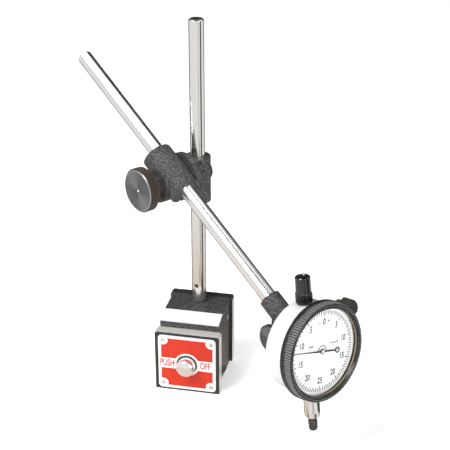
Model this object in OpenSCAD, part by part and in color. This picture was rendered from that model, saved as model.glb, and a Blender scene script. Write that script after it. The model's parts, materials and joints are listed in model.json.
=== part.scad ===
// Dial indicator on a push-button magnetic base, with a post, a swivel clamp and an arm rod.
// +Z is up. The origin is on the post's axis, at the level of the pole plates' feet.
// The arm swings in one upright plane: +X' runs out along it and +Y' points away from the knob.

/* [Magnetic base] */
// Width across the pole plates
base_w = 43.5; // [38:0.5:48]
// Height of the housing and of the rear pole plate
base_h = 50; // [48:0.5:56]
// Distance from the post's axis to the front pole's face
base_front = 36.5; // [34:0.5:40]
// Distance from the post's axis to the rear pole's face
base_rear = 12.3; // [12:0.1:16]
// Height of the front pole plate
front_pole_h = 43.5; // [40:0.5:45]
// Thickness of the front pole plate
front_pole_t = 7.2; // [6:0.1:9]
// Thickness of the rear pole plate
rear_pole_t = 6; // [5:0.1:8]
// How far the housing's sides stand back from the poles
side_inset = 2; // [1:0.1:3]
// Diameter of the push buttons
button_d = 12.3; // [10:0.1:14]
// Height of the push buttons' axis
button_z = 20.8; // [18:0.1:24]
// Travel of the push buttons and the magnet
button_travel = 8; // [4:0.5:8]

/* [Post and arm] */
// Diameter of the post and of the arm rod
rod_d = 9.525; // [8:0.005:10]
// Height of the post's top
post_top = 244; // [200:1:300]
// Length of the arm rod
arm_len = 219; // [200:1:240]
// Height of the swivel clamp's bolt
clamp_z = 143.8; // [120:0.1:200]
// Turn of the arm's plane about the post
arm_swing = -37; // [-60:1:60]
// Slope of the arm rod below level
arm_slope = 30.4; // [20:0.1:40]

/* [Dial indicator] */
// Outer diameter of the case
case_d = 54; // [52:0.5:54]
// Outer diameter of the bezel
bezel_d = 59.4; // [59:0.1:61]
// Diameter of the dial that shows inside the bezel
dial_d = 51.2; // [46:0.1:51.4]
// Number of grooves in the bezel's knurl
bezel_grooves = 120; // [60:1:160]
// Backward lean of the dial
dial_lean = 7.8; // [0:0.1:15]
// Length of the spindle's travel
spindle_travel = 3.175; // [2:0.005:3.5]

/* [Hidden] */
$fn = 96;

// Running clearance on the radius of a shaft
run = 0.04;
rod_r = rod_d / 2;
half_w = base_w / 2;
body_half_w = half_w - side_inset;
pole_back_y = -base_front + front_pole_t;
rear_pole_y = base_rear - rear_pole_t;

// Housing: top slope, underside relief and bores
slope_start_y = -16.5;
slope_drop = 2.2;
relief_front_z = 4.2;
relief_end_y = -5;
cavity_d = 24;
post_socket_z = 38;
shank_r = 4;
label_w = 38.8;
label_h = 39.8;
label_t = 0.6;
label_z = 21.6;
pin_x = 16.2;
pin_z = 16.3;
pole_screw_x = 15;
front_screw_z = [12, 31];
rear_screw_z = [8, 35];

// Push-button stack along Y
magnet_front_y = pole_back_y + 0.8;
magnet_len = 26;
magnet_rear_y = magnet_front_y + magnet_len;
cheek_t = 6;
front_button_y = -base_front - button_travel - 0.5;
rear_button_y = base_rear + 0.5;

// Swivel clamp: everything lies along the bolt's axis
arm_offset = 23.6;
bolt_r = 3.175;
rod_to_bolt = 8.5;
swivel_y = -13.4;
washer_t = 0.9;
rod_clamp_near_y = swivel_y - washer_t - 0.1;
rod_clamp_far_y = -34;
knob_face_y = -48.5;
knob_r = 14.1;
knob_t = 7;
clamp_up = 11;
clamp_down = 19.5;
clamp_r = 8.4;
swivel_r = 15.7;
swivel_t = 3.4;
eye_r = 6.5;

// Arm rod, measured from the point beside the bolt
rod_top_s = -107.3;
rod_end_s = rod_top_s + arm_len;
fork_top_s = 104;
fork_end_s = 121;

// Place of the dial's centre in the arm's plane
dial_x = 139.15;
dial_z = 82.3;

// Indicator, in its own frame: x to the dial's right, y up, z out of the dial
case_r = case_d / 2;
case_wall = 2;
case_front_z = -3;
case_back_z = -21;
bezel_r = bezel_d / 2;
bezel_back_z = -5.2;
stem_z = -13;
stem_r = 4.7625;
stem_end_y = -46.2;
tip_y = -55.3;
spindle_r = 2;
lug_y = 2.5;
lug_z = -32;
lug_half_t = 3.175;
ear_out = 5.6;
clamp_turn = 25.5;
clamp_screw_r = 32.4;

// Gear train: one turn of the hand for each 1.27 mm of spindle travel
hand_pitch = 1.27;
pinion_teeth = 10;
gear_teeth = 80;
gear_module = 0.28;
rack_pitch = hand_pitch * gear_teeth / pinion_teeth / pinion_teeth;
rack_module = rack_pitch / PI;
rack_pitch_x = 1.52;
mesh_slack = 0.03;
rack_pinion_r = rack_module * pinion_teeth / 2;
rack_pinion_x = rack_pitch_x + rack_pinion_r + mesh_slack;
gear_spacing = gear_module * (gear_teeth + pinion_teeth) / 2 + mesh_slack;
rack_pinion_y = -sqrt(gear_spacing * gear_spacing - rack_pinion_x * rack_pinion_x);
gear_dir = atan2(rack_pinion_y, rack_pinion_x);
gear_z = -8.4;
gear_t = 0.8;

module in_arm() rotate([0, 0, arm_swing]) children();

// +Z of the children runs along the bolt, towards the knob
module on_bolt() in_arm() translate([0, 0, clamp_z]) rotate([90, 0, 0]) children();

// +Z of the children runs down along the arm rod, and +X to its under side
module on_rod()
    in_arm()
        translate([rod_to_bolt * sin(arm_slope), -arm_offset, clamp_z + rod_to_bolt * cos(arm_slope)])
            rotate([0, 90 + arm_slope, 0]) children();

module on_gauge()
    in_arm()
        translate([dial_x, -arm_offset, dial_z])
            rotate([0, 90 - dial_lean, 0]) rotate([0, 0, 90]) children();

// The wheels lie mirrored, so that the hand turns clockwise as the spindle goes in
module on_movement() on_gauge() mirror([1, 0, 0]) children();

// +Z of the children runs down along the spindle's axis
module on_spindle() on_gauge() translate([0, 0, stem_z]) rotate([90, 0, 0]) children();

// A straight cylinder from z0 to z1
module rod_between(r, z0, z1) translate([0, 0, z0]) cylinder(r = r, h = z1 - z0);

// A cylinder along Y from y0 to y1
module along_y(r, y0, y1) translate([0, y1, 0]) rotate([90, 0, 0]) cylinder(r = r, h = y1 - y0);

// A round bar with chamfered ends
module chamfered_bar(r, z0, z1, c)
    rotate_extrude()
        polygon([[0, z0], [r - c, z0], [r, z0 + c], [r, z1 - c], [r - c, z1], [0, z1]]);

// Outline of a straight knurl
module knurl_outline(r, depth, grooves)
    polygon([for (i = [0 : grooves - 1], k = [0 : 2])
        let (a = 360 / grooves * (i + [0.12, 0.5, 0.88][k]), rr = k == 1 ? r - depth : r)
            [rr * cos(a), rr * sin(a)]]);

// Outline of a spur gear with a tooth on +X
module gear_outline(teeth, m)
    polygon([for (i = [0 : teeth - 1], k = [0 : 3])
        let (
            step = 360 / teeth,
            root = m * (teeth / 2 - 1.2),
            tip = m * (teeth / 2 + 0.85),
            a = step * (i + [-0.3, -0.11, 0.11, 0.3][k]),
            rr = k == 0 || k == 3 ? root : tip)
                [rr * cos(a), rr * sin(a)]]);

module slotted_head(r, t, slot)
    difference() {
        cylinder(r = r, h = t);
        translate([-r - 1, -slot / 2, t * 0.55]) cube([2 * r + 2, slot, t]);
    }

// ---------------- Magnetic base ----------------

module housing_profile()
    polygon([
        [pole_back_y, relief_front_z], [pole_back_y, base_h - slope_drop],
        [slope_start_y, base_h], [rear_pole_y, base_h], [rear_pole_y, 0], [relief_end_y, 0]
    ]);

module base_body() {
    color("#3b3b3d")
        difference() {
            translate([-body_half_w, 0, 0]) rotate([90, 0, 90])
                linear_extrude(2 * body_half_w) housing_profile();
            translate([0, 0, button_z]) along_y(cavity_d / 2, pole_back_y - 1, rear_pole_y + 1);
            rod_between(shank_r + run, post_socket_z, base_h + 1);
            for (x = [-pole_screw_x, pole_screw_x]) {
                for (z = rear_screw_z) translate([x, 0, z]) along_y(2, rear_pole_y - 8, rear_pole_y + 1);
                for (z = front_screw_z) translate([x, 0, z]) along_y(2, pole_back_y - 1, pole_back_y + 8);
            }
        }
}

module pole_outline(h) {
    c = 1.2;
    polygon([[-half_w, 0], [half_w, 0], [half_w, h - c], [half_w - c, h], [c - half_w, h], [-half_w, h - c]]);
}

module countersunk_bore(head_r, shaft_r, face_y, into, depth) {
    // A cone seat and a bore, from the face at face_y towards +Y (into = 1) or -Y (into = -1)
    translate([0, face_y, 0]) rotate([-90 * into, 0, 0]) {
        translate([0, 0, -0.01]) cylinder(r1 = head_r + 0.03, r2 = shaft_r, h = head_r - shaft_r + 0.03);
        cylinder(r = shaft_r, h = depth);
    }
}

module front_pole() {
    color("#b9b7b2")
        difference() {
            translate([0, pole_back_y, 0]) rotate([90, 0, 0])
                linear_extrude(front_pole_t) pole_outline(front_pole_h);
            translate([0, 0, button_z]) along_y(button_d / 2 + 0.15, -base_front - 1, pole_back_y + 1);
            for (x = [-pole_screw_x, pole_screw_x], z = front_screw_z)
                translate([x, 0, z]) countersunk_bore(3.8, 2, -base_front, 1, front_pole_t + 1);
            for (x = [-pin_x, pin_x], z = [-pin_z, pin_z])
                translate([x, 0, label_z + z]) along_y(0.8, -base_front - 1, -base_front + 4);
        }
}

module rear_pole() {
    color("#b9b7b2")
        difference() {
            translate([0, base_rear, 0]) rotate([90, 0, 0])
                linear_extrude(rear_pole_t) pole_outline(base_h);
            translate([0, 0, button_z]) along_y(button_d / 2 + 0.15, rear_pole_y - 1, base_rear + 1);
            for (x = [-pole_screw_x, pole_screw_x], z = rear_screw_z)
                translate([x, 0, z]) countersunk_bore(3.8, 2, base_rear, -1, rear_pole_t + 1);
        }
}

// A countersunk screw whose head is flush at z = 0 and whose shank runs along +Z
module countersunk_screw(len)
    difference() {
        union() {
            cylinder(r1 = 3.8, r2 = 2, h = 1.8);
            cylinder(r = 2, h = len);
        }
        translate([0, 0, -0.1]) cylinder(r = 1.45, h = 1.5, $fn = 6);
    }

module front_pole_screws() {
    color("#5a5a5c")
        for (x = [-pole_screw_x, pole_screw_x], z = front_screw_z)
            translate([x, -base_front, z]) rotate([-90, 0, 0]) countersunk_screw(front_pole_t + 7);
}

module rear_pole_screws() {
    color("#5a5a5c")
        for (x = [-pole_screw_x, pole_screw_x], z = rear_screw_z)
            translate([x, base_rear, z]) rotate([90, 0, 0]) countersunk_screw(rear_pole_t + 7);
}

module rounded_rect(w, h, r) {
    square([w - 2 * r, h], center = true);
    square([w, h - 2 * r], center = true);
    for (x = [-1, 1], y = [-1, 1])
        translate([x * (w / 2 - r), y * (h / 2 - r)]) circle(r = r);
}

module label_plate() {
    color("#d8402a")
        translate([0, -base_front, label_z]) rotate([90, 0, 0])
            linear_extrude(label_t)
                difference() {
                    rounded_rect(label_w, label_h, 2.5);
                    translate([0, button_z - label_z]) circle(r = 7);
                    for (x = [-pin_x, pin_x], z = [-pin_z, pin_z]) translate([x, z]) circle(r = 0.8);
                }
}

module label_pins() {
    color("#c9c9c9")
        for (x = [-pin_x, pin_x], z = [-pin_z, pin_z])
            translate([x, -base_front - label_t, label_z + z]) rotate([90, 0, 0])
                rotate_extrude()
                    polygon([[0, -4], [0.8, -4], [0.8, 0], [1.5, 0], [1.4, 0.35], [0.9, 0.6], [0, 0.7]]);
}

module push_rod() {
    color("#a8a8a8")
        translate([0, 0, button_z]) along_y(3, magnet_front_y - 8, magnet_rear_y + 6);
}

module magnet() {
    color("#4a4a4c")
        translate([0, 0, button_z])
            difference() {
                along_y(cavity_d / 2 - 0.6, magnet_front_y + cheek_t, magnet_rear_y - cheek_t);
                along_y(3, magnet_front_y, magnet_rear_y);
            }
}

module magnet_cheeks() {
    color("#8c8c8c")
        translate([0, 0, button_z])
            for (y = [magnet_front_y, magnet_rear_y - cheek_t])
                difference() {
                    along_y(cavity_d / 2 - 0.3, y, y + cheek_t);
                    along_y(3, y - 1, y + cheek_t + 1);
                }
}

// A domed button, from its crown at z = 0 to its foot, with a blind bore for the push rod
module button_form(len)
    rotate_extrude()
        polygon(concat(
            [for (i = [0 : 8]) let (a = 90 * i / 8) [button_d / 2 * sin(a), 3.2 * (1 - cos(a))]],
            [[button_d / 2, len], [3, len], [3, len - 8], [0, len - 8]]));

module front_button() {
    color("#e2e2e2")
        translate([0, front_button_y, button_z]) rotate([-90, 0, 0])
            button_form(magnet_front_y - front_button_y);
}

module rear_button() {
    color("#e2e2e2")
        translate([0, rear_button_y, button_z]) rotate([90, 0, 0])
            button_form(rear_button_y - magnet_rear_y);
}

// ---------------- Post and swivel clamp ----------------

module post() {
    color("#d5d3cf")
        difference() {
            union() {
                chamfered_bar(rod_r, base_h + 0.05, post_top, 0.8);
                rod_between(shank_r, post_socket_z + 0.5, base_h + 1);
            }
            translate([0, 0, base_h + 12.6]) rotate([0, 0, -9]) along_y(1.45, -8, 8);
        }
}

module post_clamp() {
    color("#2f2f31")
        in_arm() translate([0, 0, clamp_z])
            difference() {
                union() {
                    rod_between(clamp_r, -clamp_down, clamp_up);
                    along_y(swivel_r, swivel_y, swivel_y + swivel_t);
                    // The casting narrows from the swivel disc to the post's sleeve
                    translate([0, swivel_y + swivel_t, 0]) rotate([-90, 0, 0])
                        cylinder(r1 = swivel_r - 1.2, r2 = clamp_r, h = 7);
                }
                rod_between(rod_r + run, -clamp_down - 1, clamp_up + 1);
                along_y(eye_r + 0.05, swivel_y - 1, clamp_r - 1);
            }
}

module draw_bolt() {
    color("#77777a")
        in_arm() translate([0, 0, clamp_z])
            difference() {
                union() {
                    along_y(eye_r, -8, clamp_r - 1.3);
                    along_y(bolt_r, knob_face_y + 2.5, -7);
                }
                rod_between(rod_r + run, -10, 10);
            }
}

module washer(outer_r, inner_r, y0, t)
    in_arm() translate([0, 0, clamp_z])
        difference() {
            along_y(outer_r, y0 - t, y0);
            along_y(inner_r, y0 - t - 1, y0 + 1);
        }

module swivel_washer() {
    color("#6c6c6e") washer(11, bolt_r + 0.1, swivel_y, washer_t);
}

module rod_clamp() {
    barrel_r = 10;
    shift = 2.4;
    color("#2f2f31")
        difference() {
            union() {
                on_rod() translate([shift, 0, 0]) rod_between(barrel_r, -17, 14.5);
                on_bolt() rod_between(11.5, -rod_clamp_near_y, -rod_clamp_far_y);
            }
            on_rod() rod_between(rod_r + run, -40, 40);
            on_bolt() rod_between(bolt_r + 0.075, 0, 40);
            // Flat face towards the swivel washer
            in_arm() translate([-50, rod_clamp_near_y, clamp_z - 50]) cube([100, 20, 100]);
            // Slit that lets the draw bolt pinch the rod
            on_rod() translate([0, -0.7, -40]) cube([30, 1.4, 80]);
        }
}

module knob_washer() {
    color("#6c6c6e") washer(8.5, bolt_r + 0.1, rod_clamp_far_y - 0.1, 1.4);
}

// A knurled knob with a stepped hub, from its hub at z = 0 to its face at z = len
module knob_form(r, disc_t, len, hub_r, bore_r, bore_len, grooves) {
    hub_h = len - disc_t;
    difference() {
        union() {
            rotate_extrude()
                polygon([
                    [0, 0], [hub_r, 0], [hub_r, 0.25 * hub_h], [hub_r - 1, 0.35 * hub_h], [hub_r - 1, hub_h],
                    [r - 1.2, len - disc_t], [r - 0.4, len - disc_t + 0.8], [r - 0.4, len - 0.8],
                    [r - 1.1, len], [r - 1.9, len], [r - 2.3, len - 0.3], [0, len - 0.3]
                ]);
            translate([0, 0, len - disc_t + 0.9]) linear_extrude(disc_t - 1.8) knurl_outline(r, 0.45, grooves);
        }
        translate([0, 0, -1]) cylinder(r = bore_r, h = bore_len + 1);
        // Centre mark left by turning
        translate([0, 0, len - 1.2]) cylinder(r1 = 0.1, r2 = 1.7, h = 1.3);
    }
}

module clamp_knob() {
    hub_y = -rod_clamp_far_y + 1.6;
    color("#3a3a3d")
        on_bolt() translate([0, 0, hub_y])
            knob_form(knob_r, knob_t, -knob_face_y - hub_y, 7.6, bolt_r + run, -knob_face_y - hub_y - 2.2, 90);
}

// ---------------- Arm rod and its fork ----------------

module arm_rod() {
    color("#d5d3cf") on_rod() chamfered_bar(rod_r, rod_top_s, rod_end_s, 0.8);
}

// The fork's bolt, as the gauge's frame sees it
module on_fork_bolt() on_gauge() translate([0, lug_y, lug_z]) rotate([0, -90, 0]) children();

module rod_fork() {
    sleeve_r = 6.6;
    eye_r = 6.4;
    ear_in = lug_half_t + 0.1;
    color("#2f2f31")
        difference() {
            union() {
                on_rod() rod_between(sleeve_r, fork_top_s, fork_end_s);
                on_fork_bolt() {
                    rod_between(eye_r, -ear_out, ear_out);
                    // Web from the eye up to the sleeve
                    rotate([0, 0, 82]) translate([0, -5.4, -ear_out]) cube([11, 10.8, 2 * ear_out]);
                }
            }
            on_rod() rod_between(rod_r + 0.01, fork_top_s - 1, rod_end_s + 0.1);
            on_fork_bolt() {
                rod_between(bolt_r + 0.02, -20, 20);
                translate([0, 0, -ear_in]) linear_extrude(2 * ear_in) {
                    circle(r = 9.2);
                    translate([0, -9]) square([30, 18]);
                }
            }
            on_rod() translate([0, 0, fork_top_s + 4.5]) rotate([0, 90, 0]) cylinder(r = 1.5, h = 10);
        }
}

module fork_set_screw() {
    color("#4c4c4e")
        on_rod() translate([0, 0, fork_top_s + 4.5]) rotate([0, 90, 0])
            difference() {
                translate([0, 0, rod_r]) cylinder(r = 1.5, h = 1.5);
                translate([0, 0, rod_r + 0.7]) cylinder(r = 0.75, h = 2, $fn = 6);
            }
}

module fork_bolt() {
    color("#77777a")
        on_fork_bolt() {
            rod_between(bolt_r, -ear_out - 3.1, 11.1);
            translate([0, 0, -ear_out - 3.05]) cylinder(r = 5.6, h = 3, $fn = 6);
        }
}

module fork_knob() {
    color("#3a3a3d")
        on_fork_bolt() translate([0, 0, ear_out + 0.15]) knob_form(9, 4.4, 6.9, 5.5, bolt_r + run, 5.5, 60);
}

// ---------------- Indicator case ----------------

module gauge_case() {
    r = case_r;
    round_r = 3;
    lip_r = r - 4.5;
    color("#eceeee")
        on_gauge()
            difference() {
                rotate_extrude()
                    polygon(concat(
                        [[r - case_wall, case_front_z], [r - 0.15, case_front_z], [r - 0.15, bezel_back_z],
                         [r, bezel_back_z - 0.3]],
                        [for (i = [0 : 8]) let (a = 90 * i / 8)
                            [r - round_r + round_r * cos(a), case_back_z + round_r - round_r * sin(a)]],
                        [[lip_r, case_back_z], [lip_r, case_back_z + 1.6], [r - case_wall, case_back_z + 1.6]]));
                translate([0, 0, stem_z]) rotate([90, 0, 0]) cylinder(r = stem_r + 0.66, h = 40);
                translate([0, 0, stem_z]) rotate([-90, 0, 0]) cylinder(r = 3.62, h = 40);
            }
}

module back_cover() {
    cover_r = case_r - 3;
    color("#eceeee")
        on_gauge() {
            difference() {
                rotate_extrude()
                    polygon([
                        [0, case_back_z - 1.2], [cover_r - 0.8, case_back_z - 1.2], [cover_r, case_back_z - 0.4],
                        [cover_r, case_back_z], [case_r - 4.6, case_back_z], [case_r - 4.6, case_back_z + 1.4],
                        [0, case_back_z + 1.4]
                    ]);
                for (a = [45 : 90 : 315]) rotate([0, 0, a]) translate([case_r - 7.5, 0, case_back_z - 2])
                    cylinder(r = 1, h = 6);
            }
            difference() {
                union() {
                    translate([-lug_half_t, lug_y - 6, lug_z])
                        cube([2 * lug_half_t, 12, case_back_z - 1 - lug_z]);
                    translate([0, lug_y, lug_z]) rotate([0, 90, 0])
                        translate([0, 0, -lug_half_t]) cylinder(r = 6, h = 2 * lug_half_t);
                }
                translate([0, lug_y, lug_z]) rotate([0, 90, 0]) translate([0, 0, -10])
                    cylinder(r = bolt_r + 0.075, h = 20);
            }
        }
}

module back_screws() {
    color("#9a9a9c")
        on_gauge()
            for (a = [45 : 90 : 315]) rotate([0, 0, a])
                translate([case_r - 7.5, 0, case_back_z - 1.2]) {
                    cylinder(r = 1, h = 3);
                    rotate([180, 0, 0]) slotted_head(1.9, 0.8, 0.5);
                }
}

module stem() {
    color("#dcdad6")
        on_spindle()
            rotate_extrude()
                polygon(concat(
                    [[spindle_r + run, 23.9], [stem_r + 0.65, 23.9], [stem_r + 0.65, 27.1], [stem_r, 27.1],
                     [stem_r, -stem_end_y - 4]],
                    [for (i = [0 : 6]) let (a = 90 * i / 6)
                        [stem_r - 1.6 + 1.4 * cos(a), -stem_end_y - 1.6 + 1.6 * sin(a)]],
                    [[2.95, -stem_end_y], [2.95, -stem_end_y - 3], [spindle_r + run, -stem_end_y - 3]]));
}

module top_bushing() {
    color("#c9a85c")
        on_spindle()
            rotate_extrude()
                polygon([[spindle_r + run, -23.8], [5, -23.8], [5, -24.6], [3.6, -24.6], [3.6, -27], [3, -27],
                    [3, -33], [spindle_r + run, -33]]);
}

module dust_cap() {
    top = 43.4;
    step = 33.6;
    foot = case_r + 0.15;
    color("#2a2a2c")
        on_spindle()
            difference() {
                union() {
                    rotate_extrude()
                        polygon([[0, -top + 0.5], [2.6, -top + 0.5], [3, -top], [3.9, -top], [4.5, -top + 0.6],
                            [4.5, -step], [4.6, -step], [4.6, -foot], [0, -foot]]);
                    translate([0, 0, -step + 0.3]) linear_extrude(step - foot - 0.9) knurl_outline(4.95, 0.3, 40);
                }
                rod_between(3, -step, 0);
                rod_between(2.6, -top + 1.6, -step + 1);
                rod_between(3.7, -foot - 0.6, 0);
            }
}

// ---------------- Movement ----------------

module movement_plate() {
    color("#c9a85c")
        on_movement()
            difference() {
                rod_between(case_r - case_wall - 0.05, -5.6, -4.6);
                rod_between(0.6, -7, -4);
                for (s = [1, -1]) translate([s * rack_pinion_x, s * rack_pinion_y, 0]) rod_between(0.45, -7, -4);
            }
}

module movement_bridge() {
    color("#c9a85c")
        on_movement()
            difference() {
                union() {
                    // Rear plate, behind the spindle
                    rod_between(22.8, -18.6, -17.6);
                    // Bar that carries the centre arbor in front of the spindle
                    translate([-19, -2.2, -10.4]) cube([38, 4.4, 0.8]);
                    for (x = [-17.5, 17.5]) translate([x, 0, 0]) rod_between(1.5, -17.7, -10.3);
                }
                rod_between(0.6, -11, -9);
                translate([rack_pinion_x, rack_pinion_y, 0]) rod_between(0.45, -20, -17);
            }
}

module movement_pillars() {
    color("#c9a85c")
        on_gauge()
            for (a = [22, 158, 202, 338]) rotate([0, 0, a]) translate([21.2, 0, 0])
                rod_between(1.4, -17.6, -5.6);
}

module return_spring() {
    color("#8a8a8c")
        on_movement() translate([-6.5, 0, stem_z])
            for (i = [0 : 11]) translate([0, -16 + 1.2 * i, 0]) rotate([90, 0, 0])
                rotate_extrude($fn = 24) translate([1.3, 0]) circle(r = 0.28, $fn = 10);
}

module rack_profile() {
    // Teeth along the spindle, with a gap at the pinion's height
    function tooth(y) = [
        [rack_pitch_x - 0.33, y - rack_pitch * 0.3], [rack_pitch_x + 0.27, y - rack_pitch * 0.12],
        [rack_pitch_x + 0.27, y + rack_pitch * 0.12], [rack_pitch_x - 0.33, y + rack_pitch * 0.3]
    ];
    polygon(concat(
        [[0, rack_pinion_y - 6 * rack_pitch]],
        [for (i = [-5 : 3], p = tooth(rack_pinion_y + (i + 0.5) * rack_pitch)) p],
        [[0, rack_pinion_y + 5 * rack_pitch]]));
}

module spindle() {
    rack_low = rack_pinion_y - 6 * rack_pitch;
    rack_high = rack_pinion_y + 5 * rack_pitch;
    color("#b5b5b5")
        on_movement()
            union() {
                difference() {
                    translate([0, 0, stem_z]) rotate([-90, 0, 0])
                        rod_between(spindle_r, stem_end_y - 0.6, 37);
                    translate([rack_pitch_x - 0.34, rack_low, stem_z - 3]) cube([3, rack_high - rack_low, 6]);
                }
                translate([0, 0, stem_z - 1.2]) linear_extrude(2.4) rack_profile();
            }
}

module contact_point() {
    top = -stem_end_y + 1.3;
    r = 2.7;
    color("#4d4644")
        on_spindle() {
            rotate_extrude()
                polygon(concat(
                    [[0, top - 0.7], [1.5, top - 0.7], [1.5, top + 0.2], [r - 0.7, top + 0.2], [r - 0.1, top + 0.9],
                     [r - 0.1, top + 3.4], [r, top + 3.6]],
                    [for (i = [0 : 6]) let (a = 90 * i / 6) [r * cos(a), -tip_y - 1.9 + 1.9 * sin(a)]]));
            translate([0, 0, top + 0.9]) linear_extrude(2.4) knurl_outline(r + 0.1, 0.3, 28);
        }
}

module rack_pinion() {
    color("#b0b0b0")
        on_movement() translate([rack_pinion_x, rack_pinion_y, 0]) {
            rod_between(0.4, -18.5, -4.7);
            rod_between(0.7, -17.4, -9.6);
            translate([0, 0, stem_z - 1.5]) linear_extrude(3)
                rotate([0, 0, 180]) gear_outline(pinion_teeth, rack_module);
        }
}

module wheel(x, y, dir)
    translate([x, y, gear_z])
        linear_extrude(gear_t)
            difference() {
                rotate([0, 0, dir + 180 + 180 / gear_teeth]) gear_outline(gear_teeth, gear_module);
                circle(r = 0.4);
                for (a = [30 : 60 : 330]) rotate(a) translate([6.6, 0]) circle(r = 2.4);
            }

module drive_gear() {
    color("#c9a85c") on_movement() wheel(rack_pinion_x, rack_pinion_y, gear_dir);
}

module takeup_gear() {
    color("#c9a85c")
        on_movement() {
            wheel(-rack_pinion_x, -rack_pinion_y, gear_dir + 180);
            translate([-rack_pinion_x, -rack_pinion_y, 0]) rod_between(0.4, -9.2, -4.7);
        }
}

module hairspring() {
    // A spiral of three turns in front of the take-up gear
    turns = 3;
    steps = 72;
    function at(i, w) = let (a = 360 * turns * i / steps, r = 1.2 + 3.2 * i / steps + w) [r * cos(a), r * sin(a)];
    color("#6b7fa8")
        on_movement() translate([-rack_pinion_x, -rack_pinion_y, gear_z + gear_t + 0.3])
            linear_extrude(0.6)
                polygon(concat([for (i = [0 : steps]) at(i, 0.12)], [for (i = [steps : -1 : 0]) at(i, -0.12)]));
}

module centre_pinion() {
    color("#b0b0b0")
        on_movement() {
            rod_between(0.5, -10.3, -0.75);
            translate([0, 0, gear_z - 0.4]) linear_extrude(gear_t + 0.8)
                rotate([0, 0, gear_dir]) gear_outline(pinion_teeth, gear_module);
        }
}

module dial_hand() {
    hand_turn = 164;
    color("#1c1c1e")
        on_gauge() translate([0, 0, -0.75]) rotate([0, 0, hand_turn]) {
            linear_extrude(0.25)
                polygon([[-10.8, -0.4], [-10.8, 0.4], [0, 0.5], [10, 0.3], [22.8, 0.14], [22.8, -0.14],
                    [10, -0.3], [0, -0.5]]);
            cylinder(r = 1.7, h = 0.45);
            translate([-12.3, 0, 0]) linear_extrude(0.25)
                difference() { circle(r = 1.75); circle(r = 1.15); }
        }
}

// ---------------- Bezel, dial and clamp ----------------

module bezel() {
    lip_r = dial_d / 2;
    color("#2b2c2e")
        on_gauge() {
            rotate_extrude()
                polygon([
                    [case_r + 0.1, bezel_back_z], [bezel_r - 0.5, bezel_back_z], [bezel_r, bezel_back_z + 0.5],
                    [bezel_r, -2.1], [bezel_r - 0.5, -1.8], [bezel_r - 0.9, -1.8], [bezel_r - 0.9, 2.7],
                    [bezel_r - 1.4, 3.1], [bezel_r - 2, 3.1], [bezel_r - 2.6, 2.6], [bezel_r - 3.2, 2.5],
                    [lip_r + 0.5, 1.6], [lip_r, 1.5], [lip_r, 0.55], [case_r - 0.65, 0.55],
                    [case_r - 0.65, -2.2], [case_r + 0.1, -2.2]
                ]);
            translate([0, 0, -1.7]) linear_extrude(4.2)
                difference() {
                    knurl_outline(bezel_r - 0.4, 0.45, bezel_grooves);
                    circle(r = bezel_r - 1.5);
                }
        }
}

module crystal() {
    color([0.9, 0.95, 1, 0.3])
        on_gauge() {
            rod_between(case_r - 0.7, -0.1, 0.54);
            rod_between(dial_d / 2 - 0.05, 0.5, 1.1);
        }
}

module dial_face() {
    color("#fafafa")
        on_gauge()
            difference() {
                rod_between(case_r - 0.7, -1.8, -1.2);
                rod_between(1.2, -3, 0);
            }
}

module bezel_clamp() {
    color("#3a3634")
        on_gauge() rotate([0, 0, clamp_turn])
            difference() {
                translate([0, 0, -12.2]) linear_extrude(6.8)
                    polygon([[24, -5], [36.4, -5], [38.2, -3], [38.8, 0], [38.2, 3], [36.4, 5], [24, 5]]);
                rod_between(case_r + 0.01, -13, -4);
                translate([clamp_screw_r, 0, 0]) rod_between(1.5 + run, -13, -7.4);
            }
}

module bezel_clamp_screw() {
    color("#3a3634")
        on_gauge() rotate([0, 0, clamp_turn]) translate([clamp_screw_r, 0, 0]) {
            rod_between(1.5, -13, -7.6);
            translate([0, 0, -16.4]) linear_extrude(4.1) knurl_outline(4.2, 0.3, 36);
        }
}

base_body();
front_pole();
rear_pole();
front_pole_screws();
rear_pole_screws();
label_plate();
label_pins();
push_rod();
magnet();
magnet_cheeks();
front_button();
rear_button();
post();
post_clamp();
draw_bolt();
swivel_washer();
rod_clamp();
knob_washer();
clamp_knob();
arm_rod();
rod_fork();
fork_bolt();
fork_set_screw();
fork_knob();
gauge_case();
back_cover();
back_screws();
stem();
top_bushing();
dust_cap();
movement_plate();
movement_bridge();
movement_pillars();
return_spring();
bezel_clamp();
bezel_clamp_screw();
bezel();
crystal();
dial_face();
spindle();
contact_point();
rack_pinion();
drive_gear();
centre_pinion();
dial_hand();
takeup_gear();
hairspring();
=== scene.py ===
"""Looks for a dial indicator that hangs from a post on a push-button magnetic base.

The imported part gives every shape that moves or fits. This script gives those pieces
their finishes and adds the printed label, the dial's print and the small turned details.
Lengths are in metres. +Z is up, +X to the label's right, +Y from the label to the rear.
"""

import json
import math

import bpy
from mathutils import Matrix, Vector


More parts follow.
